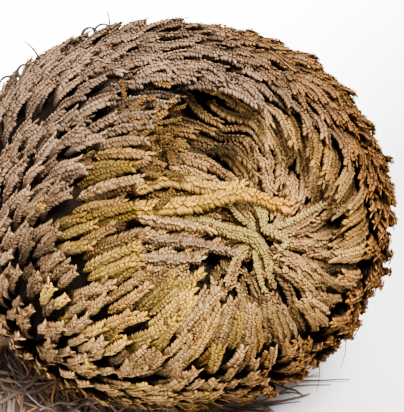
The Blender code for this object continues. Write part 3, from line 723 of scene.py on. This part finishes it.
def outer_rows(turn, half_turn, first_way, last_way, draw):
    """Where the branchlets of one frond start, row by row from the rim back to the crown.

    It gives their turns, ways and lengths, and which of them are the long ones at the rim. On the
    top and on the right the rows are shorter and closer."""
    top = float(side_share(turn, TOP_SHORT))
    right = float(min(1, RIGHT_GROWTH * side_share(turn, RIGHT_CURLED)))
    row_step = ROW_STEP - SHORTER * max(top, right)
    full_length = FULL_LENGTH - SHORTER * max(top, right)
    rim_length = RIM_ROW_LENGTH + 0.0015 * right - 0.0030 * top
    way = way_back(turn, last_way, 0.92 * rim_length)
    at_rim = True
    near_rim = 1.0
    rows = []
    while way > first_way - 0.2:
        scale = line_spread(turn, way)
        lanes = max(1, round(2 * half_turn * scale / ALONG / OUTER_PITCH))
        turns = lane_turns(turn, half_turn, lanes)
        rim_here = way_at_mouth_angle(turns, rim_angle(turns)) - last_way
        tuft = np.repeat(draw.normal(0, 0.16, lanes // 3 + 1), 3)[:lanes]
        slip = (0.16 * np.sin(23 * turns + 0.6) + tuft + draw.uniform(-0.25, 0.25, lanes)) * row_step
        slip = slip * (0.6 if at_rim else 1.0)
        ways = way + rim_here * near_rim + slip / (scale * ALONG)
        lengths = np.full(lanes, rim_length if at_rim else full_length)
        rows.append((turns, ways, lengths, np.full(lanes, at_rim)))
        way = way_back(turn, way, full_length - RIM_ROW_LAP - 0.0020 * right if at_rim else row_step)
        at_rim = False
        near_rim *= 0.7
    return [np.concatenate(values) for values in zip(*rows)] + [rim_length, full_length]


def outer_frond(index):
    """One outer frond, from the crown to the rim of the mouth."""
    draw = np.random.default_rng(100 + index)
    half_turn = math.pi / OUTER_FRONDS
    turn = 2 * math.pi * (index + 0.5) / OUTER_FRONDS
    first_way = float(way_where(turn, OUTER_START, crown_distance, -6.0, 1.0, True))
    last_way = float(way_at_mouth_angle(turn, rim_angle(turn)))
    parts = [backing(turn, half_turn, first_way, last_way - OUTER_BACKING_SHORT, outer_ground)]
    rows = outer_rows(turn, half_turn, first_way, last_way, draw)
    turns, ways, lengths, at_rim, rim_length, full_length = rows
    count = len(turns)

    top = side_share(turns, TOP_RAGGED)
    tuft_swing = 0.12 * np.sin(17 * turns + 3.1 * ways) + 0.07 * np.sin(41 * turns - 6.3 * ways)
    calm = np.where(at_rim, 0.5, 1.0)
    heading = (tuft_swing * (1 + 1.2 * top) + draw.normal(0, 1, count) * (0.06 + 0.17 * top)) * calm
    bend = draw.normal(0, 0.14, count) * calm
    toward = walk(turns, ways, lengths * draw.uniform(0.84, 1.18, count), heading, bend, OUTER_STEPS)
    tips = toward[:, -1]
    outside = smooth_step(mouth_angle(tips), math.radians(38), math.radians(55))
    right = np.minimum(RIGHT_GROWTH * side_share(turns, RIGHT_CURLED), 1) * outside
    tip_height = draw.uniform(0.0002, 0.0010, count) + right * draw.uniform(0.0008, 0.0030, count)
    tip_height = tip_height + top * outside * draw.uniform(0, 0.0010, count)
    beneath = (draw.uniform(0, 1, count) < BENEATH_SHARE) & (right < 0.4)
    level = draw.normal(0, 0.00025, count) - BENEATH_DEPTH * beneath
    level -= 0.0016 * right + 0.0012 * top * outside
    share = np.linspace(0, 1, OUTER_STEPS)[None, :]
    rise = BRANCHLET_FOOT + (BRANCHLET_RISE + tip_height[:, None]) * (1 - (1 - share) ** 1.7)
    spine = at(toward, outer_height(toward) + rise + level[:, None])

    half_width = OUTER_HALF_WIDTH * draw.uniform(0.85, 1.15, count)
    colour, tip_colour = outer_colours(turns, tips, draw)
    # Painted shade on the branchlets that lie beneath the others
    colour = colour * (1 - 0.55 * beneath)[:, None]
    tip_colour = tip_colour * (1 - 0.50 * beneath)[:, None]
    arch = OUTER_ARCH + right * math.radians(14) + draw.normal(0, 0.08, count)
    fray = np.clip(draw.uniform(0.2, 1.0, count) + 0.3 * right, 0, 1) * (0.35 + 0.65 * outside)
    for row, length, bare in ((at_rim, rim_length, RIM_ROW_BARE), (~at_rim, full_length, OUTER_BARE)):
        colours = colour[row], tip_colour[row]
        leaf_pairs = round((1 - bare) * length / LEAF_STEP)
        ribbons = Ribbons(
            spine[row], toward[row], half_width[row], colours, arch[row], fray[row], leaf_pairs, bare
        )
        parts.append(ribbons.grown(draw))
    return joined(parts)


leaf_finish = grown("dry scale leaves", 0.86, True, 3800.0, 0.00012)
for index in range(OUTER_FRONDS):
    made = mesh_object(f"outer_frond_{index + 1:02d}_leafy", *outer_frond(index), leaf_finish)
    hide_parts(f"outer_frond_{index + 1:02d}")
    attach(made, "root")

# The inner fronds: longer, paler branchlets that curl in over the rim and line the
# hollow of the mouth. Each spray is one frond of its own, on a stem from the crown.

INNER_FRONDS = 8
ARCHING_FROND = 6
INNER_PITCH = 0.0028
INNER_STEPS = 16
INNER_HALF_WIDTH = 0.00132
INNER_ARCH = math.radians(36)
INNER_BARE = 0.04
INNER_BENEATH_SHARE = 0.25
INNER_BENEATH_DEPTH = 0.0010
# Where each row of branchlets starts and ends, in degrees from the mouth's axis
INNER_ROWS = ((64, 34), (55, 26), (46, 18), (36, 9), (25, 2))
INNER_BACKING_FROM = math.radians(60)
INNER_BACKING_TO = math.radians(9)
INNER_BACKING_DEPTH = 0.0012
LINING_RADIUS = 0.034
LINING_DEPTH = 0.0022
LINING_RISE = 0.0032
HOLLOW_LIP = -0.0057
HOLLOW_DEPTH = 0.0105
HOLLOW_FLOOR_ANGLE = math.radians(6)
HOLLOW_WALL_ANGLE = math.radians(42)
# Holes where older fronds broke away, which the lining sinks into and which are dark with painted shade:
# middle and reach in degrees, as for the yellow tips, and depth
HOLES = np.array([
    (-16.0, 42.0, 19.0, 12.0, 0.0050), (-41.0, 13.0, 8.0, 10.0, 0.0045), (-10.0, -13.0, 11.0, 5.0, 0.0042),
    (6.0, 27.0, 2.6, 4.5, 0.0012), (12.0, 21.0, 2.6, 4.0, 0.0010), (20.0, 24.0, 2.6, 4.0, 0.0012),
    (-6.0, -23.0, 3.5, 7.0, 0.0030), (4.0, -20.0, 3.0, 7.0, 0.0030), (13.0, -25.0, 3.0, 6.0, 0.0026),
])
# The depth of a hole at which the painted shade in it is darkest
HOLE_PAINTED_SHADE_FULL_DEPTH = 0.0030
HEART_PLACE = np.array([11.0, -1.0])
HEART_PULL = 52.0
GREY_STRAW = np.array([0.390, 0.228, 0.074])
PINK_TAN = np.array([0.330, 0.175, 0.066])


def hollow_height(toward):
    """The height of the mouth's lining, which falls from its lip to its floor."""
    risen = smooth_step(mouth_angle(toward), HOLLOW_FLOOR_ANGLE, HOLLOW_WALL_ANGLE)
    return HOLLOW_LIP - HOLLOW_DEPTH * (1 - risen)


def hole_depth(toward):
    """How far the lining sinks into the dark holes here."""
    away = (on_mouth(toward)[..., None, :] - HOLES[:, :2]) / HOLES[:, 2:4]
    return (HOLES[:, 4] * (1 - smooth_step(np.linalg.norm(away, axis=-1), 0.65, 1.15))).max(-1)


def lining_height(toward):
    """The height at which the lining's branchlets start."""
    return hollow_height(toward) - LINING_DEPTH - hole_depth(toward)


def lining_ground(toward):
    """The height of the near-black sheet of painted shadow beneath the lining."""
    return lining_height(toward) - INNER_BACKING_DEPTH


def pulled(toward):
    """The lining's directions, pulled aside so that the branchlets meet at the heart."""
    place = on_mouth(toward)
    near = np.clip(1 - (np.linalg.norm(place, axis=-1) / HEART_PULL) ** 2, 0, 1) ** 2
    return from_mouth(place + HEART_PLACE * near[..., None])


def lining_outward(toward, spine):
    """Away from the lining's surface, for branchlets that follow it along these spines."""
    forward = unit(np.gradient(spine, axis=1))
    aside = np.cross(toward, forward)
    return unit(np.cross(forward, aside))


def lining_light(toward, beneath, draw):
    """How light each branchlet is: random, with painted shade in the holes and beneath others, and painted
    light at the upper right.
    """
    spot = on_mouth(toward).mean(1)
    lit = 1 + 0.35 * smooth_step(spot[:, 0], -12, 2) * smooth_step(spot[:, 1], 5, 18)
    dark = 0.88 * np.clip(hole_depth(toward).mean(1) / HOLE_PAINTED_SHADE_FULL_DEPTH, 0, 1)
    return lit * draw.normal(1, 0.20, len(spot)) * (1 - 0.5 * beneath) * (1 - dark)


def inner_frond(index):
    """One inner frond, laid in rows from the lip of the hollow to its middle."""
    draw = np.random.default_rng(300 + index)
    half_turn = math.pi / INNER_FRONDS
    turn = 2 * math.pi * (index + 0.5) / INNER_FRONDS
    first_way = float(way_at_mouth_angle(turn, INNER_BACKING_FROM))
    last_way = float(way_at_mouth_angle(turn, INNER_BACKING_TO))
    share = np.linspace(0, 1, INNER_STEPS)[None, :]
    parts = [backing(turn, half_turn, first_way, last_way, lining_ground)]
    for foot, tip in np.radians(INNER_ROWS):
        scale = line_spread(turn, float(way_at_mouth_angle(turn, foot))) * 0.72
        lanes = max(2, round(2 * half_turn * scale / ALONG / INNER_PITCH))
        turns = lane_turns(turn, half_turn, lanes) + draw.normal(0, 0.02, lanes)
        ways = way_at_mouth_angle(turns, foot + draw.normal(0, 0.06, lanes))
        length = (foot - tip) * LINING_RADIUS * draw.uniform(0.85, 1.15, lanes)
        heading = draw.normal(0, 0.08, lanes)
        bend = draw.normal(0, 0.15, lanes)
        toward = pulled(walk(turns, ways, length, heading, bend, INNER_STEPS))
        beneath = draw.uniform(0, 1, lanes) < INNER_BENEATH_SHARE
        rise = LINING_RISE + draw.uniform(-0.0004, 0.0008, lanes) - INNER_BENEATH_DEPTH * beneath
        spine = at(toward, lining_height(toward) + rise[:, None] * (1 - (1 - share) ** 2))
        light = lining_light(toward, beneath, draw)[:, None]
        colour = blend(PINK_TAN, GREY_STRAW, draw.uniform(0, 1, (lanes, 1))) * light
        colours = colour, colour * 0.6 + STRAW * 0.45
        leaf_pairs = max(8, int(length.mean() / LEAF_STEP))
        half_width = INNER_HALF_WIDTH * draw.uniform(0.85, 1.15, lanes)
        arch = INNER_ARCH + draw.normal(0, 0.06, lanes)
        fray = draw.uniform(0.0, 0.6, lanes)
        outward = lining_outward(toward, spine)
        ribbons = Ribbons(spine, outward, half_width, colours, arch, fray, leaf_pairs, INNER_BARE)
        parts.append(ribbons.grown(draw))
    return joined(parts)


inner_finish = grown("pale scale leaves", 0.86, True, 3800.0, 0.00012)
for index in range(INNER_FRONDS):
    if index == ARCHING_FROND:
        continue
    made = mesh_object(f"inner_frond_{index + 1}_leafy", *inner_frond(index), inner_finish)
    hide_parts(f"inner_frond_{index + 1}")
    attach(made, "root")

# The arching frond: one inner spray whose long branchlets lie across the mouth like
# straps, the upper ones still ochre. Dry golden scraps of older fronds stand in the
# dark hole at its foot.

MILLIMETRE = 0.001
STRAP_STEPS = 26
STRAP_ARCH = 0.55
STRAP_FRAY = 0.15
# Places in degrees right of and above the middle of the mouth, lifts over the lining and half width
# in millimetres, colour at the foot and at the tip
ARCH_STRAPS = (
    (((-37, 11), (-27, 11.8), (-16.5, 12.8), (-1, 15.9), (17, 10)), (1.6, 3.4, 4.6, 4.6, 2.6), 1.90,
     (0.56, 0.295, 0.032), (0.86, 0.345, 0.022)),
    (((-36, 17), (-25.4, 20.6), (-12.7, 18), (-1, 18.6)), (1.2, 3.0, 3.4, 2.6), 1.85,
     (0.46, 0.26, 0.052), (0.72, 0.41, 0.050)),
    (((-36, 9), (-28, 7), (-11, 2.4)), (1.0, 2.6, 2.6), 1.68, (0.50, 0.28, 0.10), (0.72, 0.42, 0.13)),
    (((-33, 1), (-20, -2.6), (-1, -9.5)), (1.0, 2.2, 1.6), 1.45, (0.30, 0.18, 0.09), (0.36, 0.23, 0.12)),
    (((-35, -6), (-27, -7.5), (-16, -10)), (0.8, 1.9, 1.5), 1.40, (0.34, 0.21, 0.09), (0.48, 0.31, 0.12)),
)
SCRAPS = 70
SCRAP_PLACE = np.array([-30.0, 36.0])
SCRAP_REACH = np.array([3.2, 8.0])
SCRAP_STEPS = 7
SCRAP_HALF_WIDTH = 0.0007
# The depth in millimetres at which a scrap's painted shade turns it black
SCRAP_PAINTED_SHADE_DEPTH = 6.0
GOLD = np.array([0.460, 0.235, 0.045])
DRY_BROWN = np.array([0.220, 0.105, 0.032])


def smooth_path(places, steps):
    """Evenly shared places along a soft curve through the given ones."""
    places = np.asarray(places, float)
    padded = np.concatenate([2 * places[:1] - places[1:2], places, 2 * places[-1:] - places[-2:-1]])
    whole = np.linspace(0, len(places) - 1 - 1e-6, steps)
    index = whole.astype(int)
    rest = (whole - index).reshape(-1, *[1] * (places.ndim - 1))
    p0, p1, p2, p3 = (padded[index + k] for k in range(4))
    bent = (p2 - p0) * rest + (2 * p0 - 5 * p1 + 4 * p2 - p3) * rest**2
    bent += (3 * p1 - 3 * p2 + p3 - p0) * rest**3
    return p1 + 0.5 * bent


def strap(places, lifts, half_width, foot_colour, tip_colour, arch, fray, draw):
    """One branchlet laid over the lining along a given path."""
    toward = from_mouth(smooth_path(places, STRAP_STEPS))[None]
    lift = smooth_path(lifts, STRAP_STEPS) * MILLIMETRE
    spine = at(toward, hollow_height(toward) + lift)
    reach = np.linalg.norm(np.diff(spine[0], axis=0), axis=1).sum()
    outward = lining_outward(toward, spine)
    half_width = np.array([half_width * MILLIMETRE])
    colours = np.array([foot_colour]), np.array([tip_colour])
    leaf_pairs = int(reach / LEAF_STEP)
    arch, fray = np.array([arch]), np.array([fray])
    ribbons = Ribbons(spine, outward, half_width, colours, arch, fray, leaf_pairs, 0.0)
    return ribbons.grown(draw)


def scrap(place, heading, draw):
    """One short frayed piece below the outer surface, with painted shade: the darker the deeper it lies."""
    reach = draw.uniform(3.5, 8.0)
    ends = place, place + reach * np.array([math.cos(heading), math.sin(heading)])
    low = -draw.uniform(1.0, 5.0)
    tint = blend(DRY_BROWN, GOLD, draw.uniform(0, 1)) * draw.uniform(0.5, 1.0) * (1 + low / SCRAP_PAINTED_SHADE_DEPTH)
    toward = from_mouth(smooth_path(ends, SCRAP_STEPS))[None]
    lift = np.linspace(low, low + draw.uniform(0, 2.5), SCRAP_STEPS) * MILLIMETRE
    spine = at(toward, outer_height(toward) + lift)
    half_width = np.array([SCRAP_HALF_WIDTH * draw.uniform(0.7, 1.3)])
    arch = np.array([draw.uniform(0.2, 0.9)])
    colours = tint[None], tint[None] * 1.3
    ribbons = Ribbons(spine, toward, half_width, colours, arch, np.array([1.0]), int(reach * 1.4), 0.05)
    return ribbons.grown(draw)


draw = np.random.default_rng(77)
arch_parts = [inner_frond(ARCHING_FROND)]
arch_parts += [strap(*values, STRAP_ARCH, STRAP_FRAY, draw) for values in ARCH_STRAPS]
scrap_places = SCRAP_PLACE + draw.normal(0, 1, (SCRAPS, 2)) * SCRAP_REACH
scrap_headings = draw.normal(-0.15, 0.9, SCRAPS)
arch_parts += [scrap(place, heading, draw) for place, heading in zip(scrap_places, scrap_headings)]
arching = mesh_object("arching_frond_leafy", *joined(arch_parts), inner_finish)
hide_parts("arching_frond")
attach(arching, "root")

# The heart: the youngest fronds, still green, whose narrow branchlets spread over
# the lining from the middle of the mouth.

GREEN = np.array([0.400, 0.275, 0.066])
PALE_GREEN = np.array([0.560, 0.390, 0.110])
HEART_ARCH = 0.45
HEART_FRAY = 0.2
# Places, lifts and half width, as for the straps
HEART_BANDS = (
    (((-14, 5.3), (-4, 2), (5.7, -1.7), (10.5, -8.4), (12, -18)), (2.4, 3.2, 3.4, 2.6, 1.8), 1.10),
    (((-15, 8), (-5, 0.6), (5.7, -3.9), (13, -14)), (2.2, 2.8, 2.8, 1.8), 0.95),
    (((6, 14), (9, 8), (11, 1)), (2.0, 2.8, 2.4), 1.00),
    (((10.5, 12), (11.5, 6), (11, 0)), (1.8, 2.5, 2.2), 0.85),
    (((10.5, 1), (17, -3.5), (15.5, -9.5)), (2.2, 3.2, 2.2), 1.15),
    (((11, 0), (20, 3), (29, 9)), (1.8, 2.2, 1.8), 0.95),
    (((9, 0), (1, 7), (-4, 15)), (1.6, 2.0, 1.6), 0.80),
    (((10, -2), (8, -12), (9, -22)), (1.4, 2.0, 1.4), 0.90),
    (((10, -1), (2, -9), (-5, -19)), (1.2, 1.8, 1.2), 0.80),
    (((-22, 8.5), (-12, 5.5), (0, -0.5), (9, -3)), (1.8, 2.9, 2.6, 1.6), 0.90),
)

draw = np.random.default_rng(55)
heart_parts = []
for places, lifts, half_width in HEART_BANDS:
    tint = blend(PALE_GREEN, GREEN, draw.uniform(0, 1))
    heart_parts.append(strap(places, lifts, half_width, tint, tint * 1.1, HEART_ARCH, HEART_FRAY, draw))
heart = mesh_object("heart_fronds_leafy", *joined(heart_parts), inner_finish)
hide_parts("heart_fronds")
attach(heart, "root")

# Stray fibres: dry root ends and curled scraps of fibre caught on the ball. They are
# thin round strands, and each starts inside the outer fronds.

# Direction from the ball's middle, radius of the bend in millimetres, lean at the foot and sweep
# in degrees, half thickness in millimetres
STRAY_FIBRES = (
    ((-0.395, 0.462, 0.794), 1.6, -40, 250, 0.42),
    ((-0.350, 0.476, 0.807), 1.9, -20, 215, 0.36),
    ((-0.310, 0.486, 0.817), 5.0, 55, -60, 0.30),
    ((-0.603, 0.382, 0.700), 7.0, 25, -45, 0.30),
    ((-0.690, 0.335, 0.642), 1.5, -30, 200, 0.45),
    ((-0.716, 0.318, 0.621), 1.8, 40, -190, 0.40),
    ((0.824, -0.236, -0.515), 11.0, 25, 60, 0.16),
    ((0.700, -0.300, -0.648), 13.0, 15, 50, 0.13),
)
STRAY_FOOT = -0.0014
STRAY_LOWEST = 0.0006
STRAY_STEPS = 14
STRAY_TAPER = 0.45
STRAY_TINT = (0.045, 0.032, 0.022)
TO_VIEWER = np.array([0.0, -0.788, 0.616])


def stray_fibre(toward, radius, lean, sweep, thickness):
    """A strand that leaves the ball's surface here and bends round beside it."""
    outward = unit(np.array(toward))
    aside = unit(np.cross(outward, TO_VIEWER))
    heading = np.radians(lean + np.linspace(0, sweep, STRAY_STEPS))[:, None]
    side = math.copysign(1, sweep)
    rise = side * (np.sin(heading) - np.sin(heading[0])) * outward
    drift = side * (np.cos(heading[0]) - np.cos(heading)) * aside
    swing = np.linspace(0, 0.4, STRAY_STEPS)[:, None] * TO_VIEWER
    path = at(outward, np.array(STRAY_FOOT)) + (rise + drift + swing) * radius * MILLIMETRE
    path[:, 2] = np.maximum(path[:, 2], STRAY_LOWEST)
    radii = thickness * MILLIMETRE * np.linspace(1.0, STRAY_TAPER, STRAY_STEPS)
    return strands(path[None], radii[None], np.tile(STRAY_TINT, (1, STRAY_STEPS, 1)))


stray = mesh_object("stray_fibres", *joined([stray_fibre(*values) for values in STRAY_FIBRES]), root_finish)
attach(stray, "root")

# The setting: a white floor with painted shade that greys it in front and a painted glow that makes it pure
# white behind, one soft light above and in front, one behind, and the camera at the photograph's angle.

ELEVATION = math.radians(38)
CAMERA_DISTANCE = 0.300
SENSOR_WIDTH = 36.0
PHOTO_WIDE, PHOTO_HIGH = 404, 412
BALL_WIDTH = 0.090
BALL_PIXELS_WIDE = 434
BALL_PIXEL = (171, 214)
PIXELS_PER_METRE = BALL_PIXELS_WIDE / BALL_WIDTH
FLOOR_REACH = 3
FLOOR_WHITE = (0.93, 0.93, 0.925)
FLOOR_NEAR_PAINTED_SHADE = (0.72, 0.715, 0.71, 1)
FLOOR_FAR = (0.93, 0.93, 0.93, 1)
FLOOR_PAINTED_GLOW = (14.0, 14.0, 14.0, 1)
FLOOR_DARK = (0.0, 0.0, 0.0, 1)
STUDIO_LIGHT = 0.62

floor_mesh = bpy.data.meshes.new("floor")
floor_corners = [(-1, -1), (1, -1), (1, 1), (-1, 1)]
floor_mesh.from_pydata([(x * FLOOR_REACH, y * FLOOR_REACH, 0) for x, y in floor_corners], [], [(0, 1, 2, 3)])
floor = bpy.data.objects.new("floor", floor_mesh)
bpy.context.scene.collection.objects.link(floor)
floor_finish, floor_place = finish("white table", FLOOR_WHITE, 0.7)
floor_finish.node_tree.nodes["Principled BSDF"].inputs["Emission Strength"].default_value = 1.0
rightward = floor_place.node("ShaderNodeSeparateXYZ", i0=floor_place)
backward = floor_place.node("ShaderNodeSeparateXYZ", output=1, i0=floor_place)
# Painted shade and light on the floor: grey in front and to the right, glowing pure white further back and
# to the left
far = ((backward * 0.8 - rightward * 1.2 + 0.01) * 7.0).clamp(0.0, 1.0)
far.mix(FLOOR_DARK, FLOOR_PAINTED_GLOW).into("Emission Color")
far.mix(FLOOR_NEAR_PAINTED_SHADE, FLOOR_FAR).into("Base Color")
floor_mesh.materials.append(floor_finish)

world = bpy.data.worlds.new("studio")
world.use_nodes = True
world.node_tree.nodes["Background"].inputs["Color"].default_value = (1.0, 1.0, 1.0, 1)
world.node_tree.nodes["Background"].inputs["Strength"].default_value = STUDIO_LIGHT
bpy.context.scene.world = world


def softbox(name, place, size, power):
    """A square soft light that shines on the ball."""
    light = bpy.data.lights.new(name, "AREA")
    light.size = size
    light.energy = power
    made = bpy.data.objects.new(name, light)
    made.location = place
    made.rotation_euler = (Vector((0, 0, 0.04)) - Vector(place)).to_track_quat("-Z", "Y").to_euler()
    bpy.context.scene.collection.objects.link(made)


softbox("softbox_over_front", (0.22, -0.36, 0.95), 0.34, 56.0)
softbox("softbox_behind", (-0.10, 0.60, 0.80), 0.5, 18.0)

camera = bpy.data.cameras.new("camera")
camera.sensor_width = SENSOR_WIDTH
camera.lens = SENSOR_WIDTH * CAMERA_DISTANCE / (PHOTO_WIDE / PIXELS_PER_METRE)
camera.clip_start = 0.01
eye = bpy.data.objects.new("camera", camera)
back = Vector((0, -math.cos(ELEVATION), math.sin(ELEVATION)))
upward = Vector((0, math.sin(ELEVATION), math.cos(ELEVATION)))
aim = Vector(CENTRE) + Vector((1, 0, 0)) * (PHOTO_WIDE / 2 - BALL_PIXEL[0]) / PIXELS_PER_METRE
aim += upward * (BALL_PIXEL[1] - PHOTO_HIGH / 2) / PIXELS_PER_METRE
eye.location = aim + back * CAMERA_DISTANCE
eye.rotation_euler = (math.pi / 2 - ELEVATION, 0, 0)
bpy.context.scene.collection.objects.link(eye)
bpy.context.scene.camera = eye
